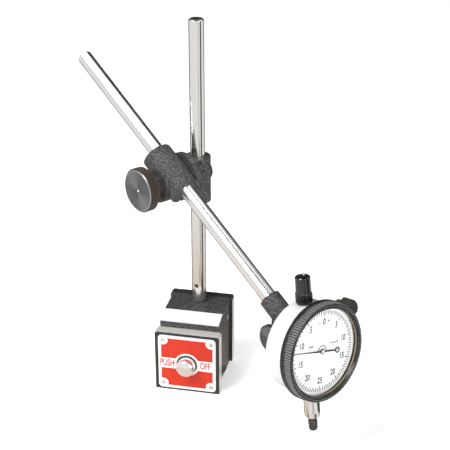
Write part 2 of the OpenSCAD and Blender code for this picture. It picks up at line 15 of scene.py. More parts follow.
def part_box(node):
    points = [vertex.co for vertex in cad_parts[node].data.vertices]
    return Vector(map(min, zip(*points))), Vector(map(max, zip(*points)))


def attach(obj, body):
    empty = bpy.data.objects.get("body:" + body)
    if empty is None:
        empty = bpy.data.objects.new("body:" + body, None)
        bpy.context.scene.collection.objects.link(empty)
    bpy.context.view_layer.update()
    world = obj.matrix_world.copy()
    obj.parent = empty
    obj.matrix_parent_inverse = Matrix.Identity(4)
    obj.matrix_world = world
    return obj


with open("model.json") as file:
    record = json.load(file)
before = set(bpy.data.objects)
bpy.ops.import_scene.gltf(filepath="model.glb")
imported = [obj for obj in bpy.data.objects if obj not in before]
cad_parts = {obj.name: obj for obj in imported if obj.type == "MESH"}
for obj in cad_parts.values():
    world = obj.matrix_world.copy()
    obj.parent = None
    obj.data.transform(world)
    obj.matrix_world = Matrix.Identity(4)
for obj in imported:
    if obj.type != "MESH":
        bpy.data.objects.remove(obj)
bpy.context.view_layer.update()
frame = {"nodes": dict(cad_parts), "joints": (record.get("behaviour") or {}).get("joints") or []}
MM = 0.001

# ---------------------------------------------------------------- places from the part

joints = {joint["name"]: joint for joint in frame["joints"]}


def joint_place(name):
    """A joint's point and axis at rest."""
    return Vector(joints[name]["pos_m"]), Vector(joints[name]["axis"]).normalized()


def frame_matrix(origin, right, up, out):
    """A matrix whose x, y and z run along right, up and out from the origin."""
    matrix = Matrix((right, up, out)).transposed().to_4x4()
    matrix.translation = origin
    return matrix


def axis_frame(origin, axis):
    """A frame whose z runs along the axis; its x is as level as can be."""
    right = Vector((0, 0, 1)).cross(axis)
    right = Vector((1, 0, 0)) if right.length < 1e-6 else right.normalized()
    return frame_matrix(origin, right, axis.cross(right), axis)


dial_centre, dial_out = joint_place("bezel_turn")
dial_up = Vector(joints["spindle_slide"]["axis"]).normalized()
dial_right = dial_up.cross(dial_out)
DIAL = frame_matrix(dial_centre, dial_right, dial_up, dial_out)

knob_point, knob_axis = joint_place("clamp_knob_turn")
rod_point, rod_axis = joint_place("fork_turn")
fork_point, fork_axis = joint_place("fork_knob_turn")
label_low, label_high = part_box("label_plate")
body_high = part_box("base_body")[1]
post_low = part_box("post")[0]

# ---------------------------------------------------------------- node sheets


class Sheet:
    """A node sheet for one finish or one shared effect."""

    def __init__(self, tree):
        self.tree = tree

    def add(self, kind, inputs=None, **settings):
        """Adds a node; each input is a value or another node's output."""
        node = self.tree.nodes.new(kind)
        for name, value in settings.items():
            setattr(node, name, value)
        for key, value in (inputs or {}).items():
            self.feed(node.inputs[key], value)
        return node

    def feed(self, socket, value):
        if isinstance(value, bpy.types.NodeSocket):
            self.tree.links.new(value, socket)
        else:
            socket.default_value = value

    def math(self, operation, a, b=0.0):
        return self.add("ShaderNodeMath", {0: a, 1: b}, operation=operation).outputs[0]

    def noise(self, vector, scale, detail, roughness):
        inputs = {"Vector": vector, "Scale": scale, "Detail": detail, "Roughness": roughness}
        return self.add("ShaderNodeTexNoise", inputs).outputs["Fac"]

    def spread(self, value, low, high, to_low=0.0, to_high=1.0):
        """Maps low..high onto to_low..to_high and stops there."""
        inputs = {0: value, 1: low, 2: high, 3: to_low, 4: to_high}
        return self.add("ShaderNodeMapRange", inputs, clamp=True).outputs[0]

    def mix(self, factor, a, b):
        """A colour from a to b."""
        node = self.add("ShaderNodeMix", data_type="RGBA")
        self.feed(node.inputs["Factor"], factor)
        self.feed(node.inputs[6], a)
        self.feed(node.inputs[7], b)
        return node.outputs[2]

    def blend(self, factor, a, b):
        """A number from a to b."""
        node = self.add("ShaderNodeMix", data_type="FLOAT")
        self.feed(node.inputs["Factor"], factor)
        self.feed(node.inputs[2], a)
        self.feed(node.inputs[3], b)
        return node.outputs[0]

    def bump(self, height, strength, distance, normal=None):
        inputs = {"Height": height, "Strength": strength, "Distance": distance}
        if normal is not None:
            inputs["Normal"] = normal
        return self.add("ShaderNodeBump", inputs).outputs["Normal"]

    def axis_parts(self, vector):
        return self.add("ShaderNodeSeparateXYZ", {0: vector}).outputs

    def local(self, coordinates, matrix):
        """Object coordinates as seen in another frame, which the matrix places in the scene."""
        inverse = matrix.inverted()
        inputs = {
            "Vector": coordinates,
            "Location": inverse.translation,
            "Rotation": inverse.to_euler("XYZ"),
        }
        return self.add("ShaderNodeMapping", inputs, vector_type="POINT").outputs[0]

    def effect(self, group, inputs):
        return self.add("ShaderNodeGroup", inputs, node_tree=group).outputs

    def along_x(self, parts):
        """The same point with its x last, so that straight grain runs along the scene's x."""
        return self.add("ShaderNodeCombineXYZ", {0: parts[1], 1: parts[2], 2: parts[0]}).outputs[0]

    def distance(self, parts, foot):
        """How far a point is from a place on the floor, seen from above."""
        east = self.math("POWER", self.math("SUBTRACT", parts[0], foot[0]), 2.0)
        south = self.math("POWER", self.math("SUBTRACT", parts[1], foot[1]), 2.0)
        return self.math("SQRT", self.math("ADD", east, south))


def shared_effect(name, inputs, outputs):
    """An empty node group with float or vector inputs and outputs."""
    tree = bpy.data.node_groups.new(name, "ShaderNodeTree")
    for label, kind, value in inputs:
        socket = tree.interface.new_socket(label, in_out="INPUT", socket_type="NodeSocket" + kind)
        if value is not None:
            socket.default_value = value
    for label, kind in outputs:
        tree.interface.new_socket(label, in_out="OUTPUT", socket_type="NodeSocket" + kind)
    sheet = Sheet(tree)
    source = tree.nodes.new("NodeGroupInput").outputs
    sink = tree.nodes.new("NodeGroupOutput").inputs
    return tree, sheet, source, sink


def make_edge_wear():
    """Where an edge is rubbed: high on sharp edges and broken up by noise."""
    tree, sheet, source, sink = shared_effect(
        "edge wear",
        [("Vector", "Vector", None), ("Width", "Float", 0.0004), ("Breakup", "Float", 900.0)],
        [("Mask", "Float"), ("Normal", "Vector")],
    )
    rounded = sheet.add("ShaderNodeBevel", {"Radius": source["Width"]}, samples=4)
    flat = sheet.add("ShaderNodeNewGeometry")
    dot = sheet.add(
        "ShaderNodeVectorMath",
        {0: rounded.outputs[0], 1: flat.outputs["Normal"]},
        operation="DOT_PRODUCT",
    )
    bent = sheet.spread(dot.outputs["Value"], 0.985, 0.80)
    patches = sheet.noise(source["Vector"], source["Breakup"], 4.0, 0.6)
    sheet.feed(sink["Mask"], sheet.math("MULTIPLY", bent, sheet.spread(patches, 0.42, 0.62)))
    sheet.feed(sink["Normal"], rounded.outputs[0])
    return tree


def make_marks():
    """Faint handling marks: slow patches and a fine mottle, both about 0 to 1."""
    tree, sheet, source, sink = shared_effect(
        "handling marks",
        [("Vector", "Vector", None), ("Patch", "Float", 60.0), ("Fine", "Float", 900.0)],
        [("Patches", "Float"), ("Mottle", "Float")],
    )
    patches = sheet.noise(source["Vector"], source["Patch"], 5.0, 0.62)
    fine = sheet.noise(source["Vector"], source["Fine"], 3.0, 0.5)
    sheet.feed(sink["Patches"], sheet.spread(patches, 0.3, 0.7))
    sheet.feed(sink["Mottle"], sheet.spread(fine, 0.3, 0.7))
    return tree


def make_crackle():
    """The pebbled skin of crackle enamel: a height and a tone."""
    tree, sheet, source, sink = shared_effect(
        "crackle skin",
        [("Vector", "Vector", None), ("Grain", "Float", 1500.0)],
        [("Height", "Float"), ("Tone", "Float")],
    )
    coarse = sheet.math("MULTIPLY", source["Grain"], 0.45)
    pebbles = sheet.add(
        "ShaderNodeTexVoronoi",
        {"Vector": source["Vector"], "Scale": source["Grain"]},
        feature="SMOOTH_F1",
    ).outputs["Distance"]
    swell = sheet.noise(source["Vector"], coarse, 4.0, 0.65)
    height = sheet.math("ADD", sheet.math("MULTIPLY", pebbles, -0.7), swell)
    sheet.feed(sink["Height"], height)
    sheet.feed(sink["Tone"], sheet.spread(swell, 0.40, 0.62))
    return tree


def make_grain():
    """Straight grinding or polishing lines along z of the frame it is given."""
    tree, sheet, source, sink = shared_effect(
        "straight grain",
        [("Vector", "Vector", None), ("Across", "Float", 4000.0), ("Along", "Float", 60.0)],
        [("Height", "Float"), ("Tone", "Float")],
    )
    parts = sheet.axis_parts(source["Vector"])
    stretched = sheet.add(
        "ShaderNodeCombineXYZ",
        {
            0: sheet.math("MULTIPLY", parts[0], source["Across"]),
            1: sheet.math("MULTIPLY", parts[1], source["Across"]),
            2: sheet.math("MULTIPLY", parts[2], source["Along"]),
        },
    ).outputs[0]
    lines = sheet.noise(stretched, 1.0, 4.0, 0.6)
    broad = sheet.noise(stretched, 0.16, 2.0, 0.5)
    sheet.feed(sink["Height"], lines)
    sheet.feed(sink["Tone"], sheet.math("MULTIPLY", sheet.math("ADD", lines, broad), 0.5))
    return tree


def make_turning():
    """Rings left by turning round z of the frame it is given."""
    tree, sheet, source, sink = shared_effect(
        "turned rings",
        [("Vector", "Vector", None), ("Rings", "Float", 3000.0)],
        [("Height", "Float"), ("Tone", "Float")],
    )
    parts = sheet.axis_parts(source["Vector"])
    flat = sheet.add("ShaderNodeCombineXYZ", {0: parts[0], 1: parts[1]}).outputs[0]
    radius = sheet.add("ShaderNodeVectorMath", {0: flat}, operation="LENGTH").outputs["Value"]
    travel = sheet.math("ADD", radius, parts[2])
    steps = sheet.add(
        "ShaderNodeCombineXYZ", {0: sheet.math("MULTIPLY", travel, source["Rings"])}
    ).outputs[0]
    rings = sheet.noise(steps, 1.0, 3.0, 0.6)
    slow = sheet.noise(steps, 0.2, 2.0, 0.5)
    sheet.feed(sink["Height"], rings)
    sheet.feed(sink["Tone"], sheet.math("MULTIPLY", sheet.math("ADD", rings, slow), 0.5))
    return tree


EDGE_WEAR = make_edge_wear()
MARKS = make_marks()
CRACKLE = make_crackle()
GRAIN = make_grain()
TURNING = make_turning()


def new_finish(name):
    """A finish's sheet, its shader and its object coordinates."""
    material = bpy.data.materials.new(name)
    material.use_nodes = True
    sheet = Sheet(material.node_tree)
    shader = material.node_tree.nodes["Principled BSDF"]
    coordinates = sheet.add("ShaderNodeTexCoord").outputs["Object"]
    return material, sheet, shader, coordinates


def wear(sheet, where, width, breakup=900.0):
    return sheet.effect(EDGE_WEAR, {"Vector": where, "Width": width, "Breakup": breakup})


def grey(value, warm=0.0):
    """A grey; warm above 0 leans it to yellow and below 0 to blue."""
    return (value * (1 + warm), value, value * (1 - warm), 1.0)


# ---------------------------------------------------------------- finishes


STRIP_H = 4 * MM  # how far down from the housing's top the ground strip may reach


def crackle_enamel():
    """Charcoal crackle enamel, rubbed to grey on the sharp edges."""
    material, sheet, shader, where = new_finish("crackle enamel")
    skin = sheet.effect(CRACKLE, {"Vector": where, "Grain": 1900.0})
    marks = sheet.effect(MARKS, {"Vector": where, "Patch": 45.0, "Fine": 1500.0})
    rub = wear(sheet, where, 0.0006, 1400.0)
    paint = sheet.mix(skin["Tone"], grey(0.003, 0.03), grey(0.115, 0.03))
    paint = sheet.mix(sheet.math("MULTIPLY", marks["Patches"], 0.15), paint, grey(0.12, 0.02))
    shader.inputs["Specular IOR Level"].default_value = 0.3
    sheet.feed(shader.inputs["Base Color"], sheet.mix(rub["Mask"], paint, grey(0.22)))
    sheet.feed(shader.inputs["Roughness"], sheet.spread(marks["Mottle"], 0.0, 1.0, 0.3, 0.5))
    sheet.feed(shader.inputs["Normal"], sheet.bump(skin["Height"], 1.0, 0.0005, rub["Normal"]))
    return material


def housing_enamel():
    """The same enamel, with the sloping strip along the top's front edge ground bright."""
    material = crackle_enamel()
    material.name = "housing enamel"
    sheet = Sheet(material.node_tree)
    shader = material.node_tree.nodes["Principled BSDF"]
    coordinates = sheet.add("ShaderNodeTexCoord")
    parts = sheet.axis_parts(coordinates.outputs["Object"])
    facing = sheet.axis_parts(sheet.add("ShaderNodeNewGeometry").outputs["True Normal"])
    forward = sheet.math("LESS_THAN", facing[1], -0.05)
    slope = sheet.math("MULTIPLY", forward, sheet.math("GREATER_THAN", facing[2], 0.8))
    above = sheet.math("GREATER_THAN", parts[2], body_high.z - STRIP_H)
    strip = sheet.math("MULTIPLY", slope, above)
    grain_inputs = {"Vector": sheet.along_x(parts), "Across": 5200.0, "Along": 130.0}
    grain = sheet.effect(GRAIN, grain_inputs)
    ground = sheet.mix(grain["Tone"], grey(0.90, 0.01), grey(1.0, 0.0))
    paint = shader.inputs["Base Color"].links[0].from_socket
    rough = shader.inputs["Roughness"].links[0].from_socket
    normal = shader.inputs["Normal"].links[0].from_socket
    sheet.feed(shader.inputs["Base Color"], sheet.mix(strip, paint, ground))
    sheet.feed(shader.inputs["Metallic"], sheet.math("MULTIPLY", strip, 0.1))
    bright_rough = sheet.spread(grain["Tone"], 0.3, 0.7, 0.38, 0.26)
    sheet.feed(shader.inputs["Roughness"], sheet.blend(strip, rough, bright_rough))
    fine = sheet.bump(grain["Height"], 0.15, 0.00005)
    either = sheet.add("ShaderNodeMix", data_type="VECTOR")
    sheet.feed(either.inputs["Factor"], strip)
    sheet.feed(either.inputs[4], normal)
    sheet.feed(either.inputs[5], fine)
    sheet.feed(shader.inputs["Normal"], either.outputs[1])
    return material


def pole_steel(name, painted_top):
    """Ground steel with straight grain; the front face, and the top if asked, is painted black."""
    material, sheet, shader, where = new_finish(name)
    parts = sheet.axis_parts(where)
    grain_inputs = {"Vector": sheet.along_x(parts), "Across": 4200.0, "Along": 110.0}
    grain = sheet.effect(GRAIN, grain_inputs)
    marks = sheet.effect(MARKS, {"Vector": where, "Patch": 80.0, "Fine": 1500.0})
    rub = wear(sheet, where, 0.0005, 1200.0)
    facing = sheet.axis_parts(sheet.add("ShaderNodeNewGeometry").outputs["True Normal"])
    front = sheet.math("LESS_THAN", facing[1], -0.5)
    above = sheet.math("MULTIPLY", sheet.math("GREATER_THAN", facing[2], 0.5), painted_top)
    bare = sheet.mix(grain["Tone"], grey(0.62, 0.05), grey(0.86, 0.03))
    bare = sheet.mix(sheet.math("MULTIPLY", marks["Patches"], 0.25), bare, grey(0.5, 0.07))
    skin = sheet.effect(CRACKLE, {"Vector": where, "Grain": 2200.0})
    paint = sheet.mix(skin["Tone"], grey(0.012), grey(0.035))
    paint = sheet.mix(rub["Mask"], paint, grey(0.4))
    black = sheet.math("MAXIMUM", front, above)
    sheet.feed(shader.inputs["Base Color"], sheet.mix(black, bare, paint))
    sheet.feed(shader.inputs["Metallic"], sheet.spread(black, 0.0, 1.0, 0.35, 0.0))
    steel_rough = sheet.spread(grain["Tone"], 0.3, 0.7, 0.42, 0.26)
    sheet.feed(shader.inputs["Roughness"], sheet.blend(black, steel_rough, 0.42))
    height = sheet.blend(black, grain["Height"], skin["Height"])
    sheet.feed(shader.inputs["Normal"], sheet.bump(height, 0.22, 0.00009, rub["Normal"]))
    return material


def polished_rod(name, matrix, bright=0.80, haze=0.13):
    """Ground and polished rod, with faint lengthwise lines and a warm cast."""
    material, sheet, shader, where = new_finish(name)
    local = sheet.local(where, matrix)
    grain = sheet.effect(GRAIN, {"Vector": local, "Across": 3600.0, "Along": 7.0})
    marks = sheet.effect(MARKS, {"Vector": where, "Patch": 55.0, "Fine": 1400.0})
    rub = wear(sheet, where, 0.0003)
    steel = sheet.mix(grain["Tone"], grey(bright * 0.88, 0.035), grey(bright, 0.02))
    stain = sheet.math("MULTIPLY", marks["Patches"], 0.2)
    steel = sheet.mix(stain, steel, grey(bright * 0.85, 0.06))
    sheet.feed(shader.inputs["Base Color"], steel)
    shader.inputs["Metallic"].default_value = 1.0
    rough = sheet.spread(marks["Patches"], 0.0, 1.0, haze, haze + 0.07)
    sheet.feed(shader.inputs["Roughness"], rough)
    sheet.feed(shader.inputs["Normal"], sheet.bump(grain["Height"], 0.03, 0.00002, rub["Normal"]))
    return material


def turned_metal(
    name, matrix, low, high, rough, metallic, rings=3000.0, warm=0.0, depth=0.00004, rubbed=0.45
):
    """Turned metal: rings round its own axis, a rubbed edge and uneven gloss."""
    material, sheet, shader, where = new_finish(name)
    local = sheet.local(where, matrix)
    turning = sheet.effect(TURNING, {"Vector": local, "Rings": rings})
    marks = sheet.effect(MARKS, {"Vector": where, "Patch": 90.0, "Fine": 1600.0})
    rub = wear(sheet, where, 0.0004, 1600.0)
    slow = sheet.math("MULTIPLY", marks["Patches"], 0.3)
    tone = sheet.math("ADD", sheet.math("MULTIPLY", turning["Tone"], 0.7), slow)
    base = sheet.mix(sheet.spread(tone, 0.25, 0.75), grey(low, warm), grey(high, warm))
    sheet.feed(shader.inputs["Base Color"], sheet.mix(rub["Mask"], base, grey(rubbed)))
    shader.inputs["Metallic"].default_value = metallic
    sheet.feed(shader.inputs["Roughness"], sheet.spread(tone, 0.2, 0.8, *rough))
    sheet.feed(shader.inputs["Normal"], sheet.bump(turning["Height"], 0.35, depth, rub["Normal"]))
    return material


def reach_from_axis(sheet, matrix):
    """How far a point is from the matrix's z, and the point's own x, y and z there."""
    where = sheet.add("ShaderNodeTexCoord").outputs["Object"]
    parts = sheet.axis_parts(sheet.local(where, matrix))
    flat = sheet.add("ShaderNodeCombineXYZ", {0: parts[0], 1: parts[1]}).outputs[0]
    length = sheet.add("ShaderNodeVectorMath", {0: flat}, operation="LENGTH").outputs["Value"]
    return length, parts


RING_SOFT = 0.1 * MM


def ring(sheet, reach, low, high):
    """1 where the reach lies between low and high, with soft ends."""
    rise = sheet.spread(reach, low - RING_SOFT, low)
    fall = sheet.spread(reach, high, high + RING_SOFT, 1.0, 0.0)
    return sheet.math("MULTIPLY", rise, fall)


KNOB_BEVEL_W = 0.7 * MM
KNOB_RIM_START = 0.9 * MM  # beyond the face's radius
KNOB_GLINT_LOW = 0.35 * MM  # the painted highlights on the knurl's tips, inside the rim's radius
KNOB_GLINT_HIGH = 0.1 * MM
RIM_BROWN = (0.022, 0.015, 0.012, 1)
# The colour of the painted highlight on the knurl's tips
RIM_GLINT = (0.14, 0.10, 0.085, 1)


def knob_black(name, matrix, face_r, rim_r, bevel_highlight, dimple_r):
    """A turned knob: the face has a painted sheen in two fans, the bevel and the centre dimple
    carry painted highlights, and the knurled rim is brownish with painted highlights on its tips.
    """
    material = turned_metal(
        name, matrix, 0.05, 0.12, (0.3, 0.42), 0.6, rings=2600.0, warm=-0.04, depth=0.00006,
        rubbed=0.3,
    )
    sheet = Sheet(material.node_tree)
    shader = material.node_tree.nodes["Principled BSDF"]
    reach, parts = reach_from_axis(sheet, matrix)
    angle = sheet.math("ARCTAN2", parts[1], parts[0])
    # Painted sheen: the face is lighter in two fans round its axis
    sheen_fans = sheet.math("COSINE", sheet.math("MULTIPLY", sheet.math("ADD", angle, 0.9), 2.0))
    base = shader.inputs["Base Color"].links[0].from_socket
    painted_sheen = sheet.math("MULTIPLY", sheet.spread(sheen_fans, -0.2, 1.0), 0.7)
    base = sheet.mix(painted_sheen, base, grey(0.19, -0.03))
    # Painted highlight on the bevel round the face
    base = sheet.mix(ring(sheet, reach, face_r, face_r + KNOB_BEVEL_W), base, grey(bevel_highlight))
    rim_start = face_r + KNOB_RIM_START
    base = sheet.mix(sheet.spread(reach, rim_start, rim_start + RING_SOFT), base, RIM_BROWN)
    # Painted highlights on the knurl's tips
    knurl_glint = sheet.spread(reach, rim_r - KNOB_GLINT_LOW, rim_r - KNOB_GLINT_HIGH)
    base = sheet.mix(sheet.math("MULTIPLY", knurl_glint, 0.8), base, RIM_GLINT)
    # A darker ring round the centre dimple, and a painted highlight in the dimple itself
    base = sheet.mix(sheet.spread(reach, 1.6 * dimple_r, 1.5 * dimple_r), base, grey(0.03))
    dimple_glint = sheet.spread(reach, dimple_r, 0.8 * dimple_r)
    sheet.feed(shader.inputs["Base Color"], sheet.mix(dimple_glint, base, grey(0.7)))
    return material


# Where the bezel's painted highlights lie: the knurl's ridges and two rings on its face
KNURL_GLINT_R = (28.95 * MM, 29.25 * MM)
KNURL_Z = (-1.6 * MM, 2.6 * MM)
OUTER_GLINT_R = (27.6 * MM, 27.8 * MM)
INNER_GLINT_R = (25.6 * MM, 25.7 * MM)
GLINT_GOLD = (0.3, 0.24, 0.14, 1)


def bezel_black():
    """Black bezel: the knurl's ridges carry painted highlights, and two rings on its face are
    painted highlights.
    """
    material = turned_metal(
        "bezel black", DIAL, 0.008, 0.022, (0.16, 0.3), 0.2, rings=2400.0, depth=0.00005,
        rubbed=0.5,
    )
    sheet = Sheet(material.node_tree)
    shader = material.node_tree.nodes["Principled BSDF"]
    shader.inputs["Specular IOR Level"].default_value = 0.35
    reach, parts = reach_from_axis(sheet, DIAL)
    base = shader.inputs["Base Color"].links[0].from_socket
    # Painted highlights on the knurl's ridges
    glint_tips = sheet.spread(reach, *KNURL_GLINT_R)
    knurl_glint = sheet.math("MULTIPLY", glint_tips, ring(sheet, parts[2], *KNURL_Z))
    base = sheet.mix(sheet.math("MULTIPLY", knurl_glint, 0.7), base, grey(0.30))
    # Two painted highlight rings on the face: grey outside, gold at the crystal's edge
    base = sheet.mix(ring(sheet, reach, *OUTER_GLINT_R), base, grey(0.16))
    base = sheet.mix(ring(sheet, reach, *INNER_GLINT_R), base, GLINT_GOLD)
    sheet.feed(shader.inputs["Base Color"], base)
    return material


def mottled(
    name, low, high, rough, metallic, fine=1200.0, strength=0.15, coat=0.0, rubbed=None
):
    """A plain finish with slow patches, a fine mottle and softened edges."""
    material, sheet, shader, where = new_finish(name)
    marks = sheet.effect(MARKS, {"Vector": where, "Patch": 70.0, "Fine": fine})
    rub = wear(sheet, where, 0.0003, 1300.0)
    base = sheet.mix(sheet.math("MULTIPLY", marks["Patches"], 0.8), low, high)
    if rubbed is not None:
        base = sheet.mix(rub["Mask"], base, rubbed)
    sheet.feed(shader.inputs["Base Color"], base)
    shader.inputs["Metallic"].default_value = metallic
    shader.inputs["Coat Weight"].default_value = coat
    sheet.feed(shader.inputs["Roughness"], sheet.spread(marks["Patches"], 0.0, 1.0, *rough))
    skin = sheet.bump(marks["Mottle"], strength, 0.00005, rub["Normal"])
    sheet.feed(shader.inputs["Normal"], skin)
    return material


def clear_crystal():
    """Clear crystal: it shows only where it mirrors, more at a glancing angle."""
    material, sheet, shader, where = new_finish("clear crystal")
    marks = sheet.effect(MARKS, {"Vector": where, "Patch": 60.0, "Fine": 500.0})
    shader.inputs["Base Color"].default_value = grey(0.95)
    shader.inputs["Metallic"].default_value = 1.0
    sheet.feed(shader.inputs["Roughness"], sheet.spread(marks["Patches"], 0.0, 1.0, 0.02, 0.06))
    mirror = sheet.add("ShaderNodeFresnel", {"IOR": 1.45}).outputs[0]
    inner = sheet.add("ShaderNodeNewGeometry").outputs["Backfacing"]
    outward = sheet.math("SUBTRACT", 1.0, inner)
    sheet.feed(shader.inputs["Alpha"], sheet.math("MULTIPLY", mirror, outward))
    return material


KNOB = axis_frame(knob_point, knob_axis)
ROD = axis_frame(rod_point, rod_axis)
FORK = axis_frame(fork_point, fork_axis)
stem_low, stem_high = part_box("stem")
SPINDLE = axis_frame((stem_low + stem_high) / 2, dial_up)
POST = axis_frame(Vector((0, 0, post_low.z)), Vector((0, 0, 1)))
button_low, button_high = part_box("front_button")
button_z = (button_low.z + button_high.z) / 2
BUTTON = axis_frame(Vector((0, label_low.y, button_z)), Vector((0, 1, 0)))

FINISHES = {
    ("base_body",): housing_enamel(),
    ("post_clamp", "rod_clamp", "rod_fork"): crackle_enamel(),
    ("front_pole",): pole_steel("front pole steel", 0.0),
    ("rear_pole",): pole_steel("rear pole steel", 1.0),
    ("front_pole_screws", "rear_pole_screws", "fork_set_screw"): mottled(
        "oxide screw", grey(0.05), grey(0.11), (0.3, 0.5), 0.8, rubbed=grey(0.4)),
    ("label_plate",): mottled(
        "label white", grey(0.88), grey(0.82, 0.01), (0.3, 0.45), 0.0),
    ("label_pins",): mottled("drive pin", grey(0.72), grey(0.5), (0.2, 0.35), 0.6),
    ("push_rod", "magnet_cheeks"): turned_metal("soft iron", BUTTON, 0.30, 0.5, (0.3, 0.45), 1.0),
    ("magnet",): mottled("magnet alloy", grey(0.12), grey(0.2), (0.5, 0.7), 0.9, strength=0.5),
    ("front_button", "rear_button"): mottled(
        "button chrome", grey(0.90), grey(0.84), (0.14, 0.22), 1.0, fine=800.0, strength=0.01),
    ("post",): polished_rod("post steel", POST),
    ("arm_rod",): polished_rod("arm steel", ROD, 0.84, 0.2),
    ("draw_bolt", "swivel_washer", "knob_washer"): turned_metal(
        "bolt steel", KNOB, 0.05, 0.12, (0.3, 0.5), 0.9),
    ("fork_bolt",): turned_metal("fork bolt steel", FORK, 0.10, 0.22, (0.3, 0.5), 0.9),
    ("clamp_knob",): knob_black(
        "knob black", KNOB, face_r=12.6 * MM, rim_r=14.1 * MM, bevel_highlight=0.25, dimple_r=1.1 * MM),
    ("fork_knob",): knob_black(
        "fork knob black", FORK, face_r=7.5 * MM, rim_r=9 * MM, bevel_highlight=0.12,
        dimple_r=0.1 * MM),
    ("bezel_clamp", "bezel_clamp_screw"): mottled(
        "clamp brown black", grey(0.035, 0.12), grey(0.065, 0.12), (0.35, 0.5), 0.6,
        rubbed=grey(0.25, 0.05)),
    ("gauge_case", "back_cover"): mottled(
        "case white", grey(0.74, -0.004), grey(0.68, -0.002), (0.28, 0.38), 0.0, fine=700.0,
        strength=0.06, coat=0.25),
    ("back_screws",): mottled("cover screw", grey(0.5), grey(0.35), (0.25, 0.4), 1.0),
    ("stem",): polished_rod("stem steel", SPINDLE, 0.84),
    ("spindle",): polished_rod("spindle steel", SPINDLE, 0.7),
    ("top_bushing", "movement_plate", "movement_bridge", "movement_pillars"): mottled(
        "brushed brass", (0.62, 0.45, 0.18, 1), (0.48, 0.33, 0.12, 1), (0.25, 0.4), 1.0),
    ("drive_gear", "takeup_gear"): turned_metal(
        "gear brass", DIAL, 0.4, 0.6, (0.25, 0.4), 1.0, warm=0.35),
    ("dust_cap",): mottled(
        "cap black", grey(0.004), grey(0.008), (0.08, 0.18), 0.0, coat=0.4, rubbed=grey(0.05)),
    ("return_spring", "rack_pinion", "centre_pinion"): mottled(
        "spring steel", grey(0.5), grey(0.35), (0.2, 0.4), 1.0),
    ("bezel",): bezel_black(),
    ("crystal",): clear_crystal(),
    ("dial_face",): mottled("dial white", grey(0.97), grey(0.95), (0.5, 0.6), 0.0, strength=0.03),
    ("contact_point",): mottled(
        "tip dark", grey(0.04, 0.08), grey(0.08, 0.1), (0.3, 0.45), 0.7, rubbed=grey(0.3, 0.05)),
    ("dial_hand",): mottled("hand black", grey(0.01), grey(0.02), (0.35, 0.5), 0.0),
    ("hairspring",): mottled(
        "blued steel", (0.08, 0.12, 0.35, 1), (0.12, 0.16, 0.4, 1), (0.2, 0.35), 1.0),
}
for names, material in FINISHES.items():
    for name in names:
        node = frame["nodes"][name]
        node.data.materials.clear()
        node.data.materials.append(material)


# ---------------------------------------------------------------- modelling helpers


def deselect():
    bpy.ops.object.select_all(action="DESELECT")


def pick(*objects):
    """Selects these objects and makes the first one active."""
    deselect()
    for o in objects:
        o.select_set(True)
    bpy.context.view_layer.objects.active = objects[0]


def settle(piece, name, body, material):
    """Puts a finished piece's place into its mesh, names it and gives it its body and finish."""
    pick(piece)
    bpy.ops.object.transform_apply(location=True, rotation=True, scale=True)
    piece.name = name
    piece.data.name = name
    piece.data.materials.clear()
    piece.data.materials.append(material)
    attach(piece, body)


def block(size, centre):
    """A cube primitive of that size at that place."""
    deselect()
    bpy.ops.mesh.primitive_cube_add(size=1, location=centre)
    piece = bpy.context.object
    piece.scale = size
    bpy.ops.object.transform_apply(location=False, rotation=False, scale=True)
    return piece


def bar(radius, depth, centre, axis, sides):
    """A cylinder primitive round an axis."""
    deselect()
    turn = Vector(axis).to_track_quat("Z", "Y").to_euler()
    bpy.ops.mesh.primitive_cylinder_add(
        vertices=sides, radius=radius, depth=depth, location=centre, rotation=turn
    )
    return bpy.context.object


def join(*pieces):
    pick(*pieces)
    bpy.ops.object.join()
    return bpy.context.object


def cut(piece, cutters):
    """Takes the cutters out of the piece and removes them."""
    for cutter in cutters:
        pick(piece)
        bpy.ops.object.modifier_add(type="BOOLEAN")
        modifier = piece.modifiers[-1]
        modifier.operation = "DIFFERENCE"
        modifier.solver = "EXACT"
        modifier.object = cutter
        bpy.ops.object.modifier_apply(modifier=modifier.name)
        pick(cutter)
        bpy.ops.object.delete()
    return piece


def bevelled(piece, width):
    pick(piece)
    bpy.ops.object.modifier_add(type="BEVEL")
    modifier = piece.modifiers[-1]
    modifier.width = width
    modifier.segments = 2
    modifier.limit_method = "ANGLE"
    bpy.ops.object.modifier_apply(modifier=modifier.name)
    return piece


def lettering(body, size, matrix, thickness, stretch, offset):
    """Flat letters as a mesh, centred on the matrix's origin and facing along its z.

    The thickness is half of the print's depth, and the offset fattens the strokes.
    """
    deselect()
    bpy.ops.object.text_add()
    text = bpy.context.object
    text.data.body = body
    text.data.size = size
    text.data.align_x = "CENTER"
    text.data.align_y = "CENTER"
    text.data.extrude = thickness
    text.data.offset = offset
    text.data.resolution_u = 4
    text.matrix_world = matrix @ Matrix.Diagonal((stretch, 1, 1, 1))
    bpy.ops.object.convert(target="MESH")
    piece = bpy.context.object
    pick(piece)
    bpy.ops.object.transform_apply(location=True, rotation=True, scale=True)
    return piece


# ---------------------------------------------------------------- label print

LABEL_RED = mottled(
    "label red", (0.62, 0.030, 0.009, 1), (0.55, 0.026, 0.008, 1), (0.35, 0.5), 0.0)
LABEL_RED.node_tree.nodes["Principled BSDF"].inputs["Specular IOR Level"].default_value = 0.25
label_face_y = label_low.y
label_x = (label_low.x + label_high.x) / 2
label_z = (label_low.z + label_high.z) / 2
label_w = label_high.x - label_low.x
label_h = label_high.z - label_low.z
pin_low, pin_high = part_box("label_pins")
PRINT_T = 0.06 * MM
WORD_SIZE = 6.9 * MM
WORD_STRETCH = 0.6
WORD_OFFSET = 0.13 * MM
FIELD_INSET = 2.0 * MM
BAND_H = 7.8 * MM
RING_R = 8.4 * MM
CORNER_R = 3.4 * MM
PIN_R = 1.5 * MM


